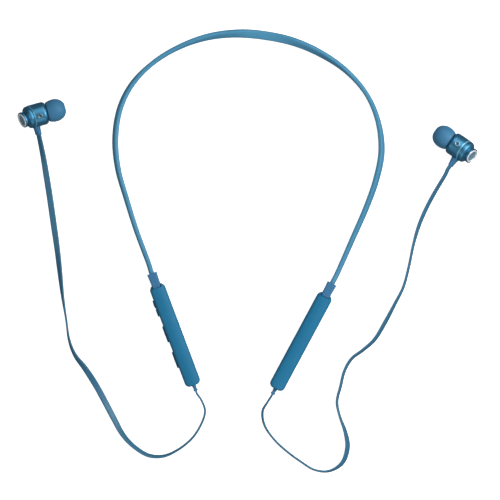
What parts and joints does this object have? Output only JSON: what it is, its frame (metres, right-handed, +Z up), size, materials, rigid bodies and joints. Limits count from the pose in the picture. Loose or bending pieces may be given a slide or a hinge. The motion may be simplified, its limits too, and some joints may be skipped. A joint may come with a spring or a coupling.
{
  "type": "neckband earphones",
  "caption": "Wireless neckband earphones lying flat: a silicone loop with a key stem and a battery stem, flat cables and metal in-ear buds with slide-off silicone tips.",
  "frame": {"origin": "centre of the footprint of the neckband, stems and earbuds, on the surface the set lies on", "axes": "+Z up off that surface, +Y towards the back of the wearer's neck, +X towards the battery stem's side"},
  "size_m": [0.2528, 0.2439, 0.0143],
  "materials": {
    "band_silicone": "soft matte silicone",
    "cable_silicone": "soft matte silicone",
    "soft_shell": "soft-touch paint over plastic",
    "metal_blue": "blue anodised and polished",
    "eartip_silicone": "matte silicone",
    "copper_wire": "bare strands, seen as one bundle",
    "board_green": "solder resist",
    "steel": "stamped and plated",
    "chrome": "polished",
    "disc_grey": "satin grey-blue",
    "white_ceramic": "moulded",
    "clear_light": "frosted light guide",
    "cell_foil": "laminated foil pouch",
    "dark_plastic": "moulded",
    "magnet_nickel": "nickel plated",
    "dark_mesh": "woven"
  },
  "bodies": {
    "headset": {"neckband": "band_silicone", "band_wires": "copper_wire", "left_front_shell": "soft_shell", "left_rear_shell": "soft_shell", "left_top_sleeve": "band_silicone", "left_bottom_boot": "band_silicone", "control_board": "board_green", "tact_switches": "steel", "bluetooth_module": "steel", "antenna": "white_ceramic", "microphone": "steel", "status_led": "white_ceramic", "light_pipe": "clear_light", "usb_socket": "steel", "right_front_shell": "soft_shell", "right_rear_shell": "soft_shell", "right_top_sleeve": "band_silicone", "right_bottom_boot": "band_silicone", "battery_cell": "cell_foil", "protection_board": "board_green", "left_front_housing": "metal_blue", "left_nozzle_mesh": "dark_mesh", "left_barrel": "metal_blue", "left_rear_bell": "metal_blue", "left_chrome_ring": "chrome", "left_magnet_disc": "disc_grey", "left_vent_ring": "chrome", "left_driver_frame": "dark_plastic", "left_driver_magnet": "magnet_nickel", "left_diaphragm": "clear_light", "left_cable_boot": "band_silicone", "left_cable": "cable_silicone", "right_front_housing": "metal_blue", "right_nozzle_mesh": "dark_mesh", "right_barrel": "metal_blue", "right_rear_bell": "metal_blue", "right_chrome_ring": "chrome", "right_magnet_disc": "disc_grey", "right_vent_ring": "chrome", "right_driver_frame": "dark_plastic", "right_driver_magnet": "magnet_nickel", "right_diaphragm": "clear_light", "right_cable_boot": "band_silicone", "right_cable": "cable_silicone"},
    "volume_up_button_body": {"volume_up_button": "soft_shell"},
    "play_button_body": {"play_button": "soft_shell"},
    "volume_down_button_body": {"volume_down_button": "soft_shell"},
    "usb_cover_body": {"usb_cover": "band_silicone"},
    "left_eartip_body": {"left_eartip": "eartip_silicone"},
    "right_eartip_body": {"right_eartip": "eartip_silicone"}
  },
  "joints": [
    {"name": "volume_up_press", "type": "slide", "parent": "headset", "child": "volume_up_button_body", "axis": [0.9361, 0.3518, 0], "range_m": [0, 0.0003], "stiffness_N_per_m": 2000},
    {"name": "play_press", "type": "slide", "parent": "headset", "child": "play_button_body", "axis": [0.9361, 0.3518, 0], "range_m": [0, 0.0003], "stiffness_N_per_m": 2000},
    {"name": "volume_down_press", "type": "slide", "parent": "headset", "child": "volume_down_button_body", "axis": [0.9361, 0.3518, 0], "range_m": [0, 0.0003], "stiffness_N_per_m": 2000},
    {"name": "usb_cover_hinge", "type": "hinge", "parent": "headset", "child": "usb_cover_body", "pos_m": [-0.04102, -0.05266, 0.0043], "axis": [0, 0, 1], "range_deg": [0, 120]},
    {"name": "left_eartip_pull", "type": "slide", "parent": "headset", "child": "left_eartip_body", "axis": [0.9597, 0.2608, -0.1045], "range_m": [0, 0.0045]},
    {"name": "right_eartip_pull", "type": "slide", "parent": "headset", "child": "right_eartip_body", "axis": [-0.817, 0.5636, -0.1219], "range_m": [0, 0.0045]}
  ]
}
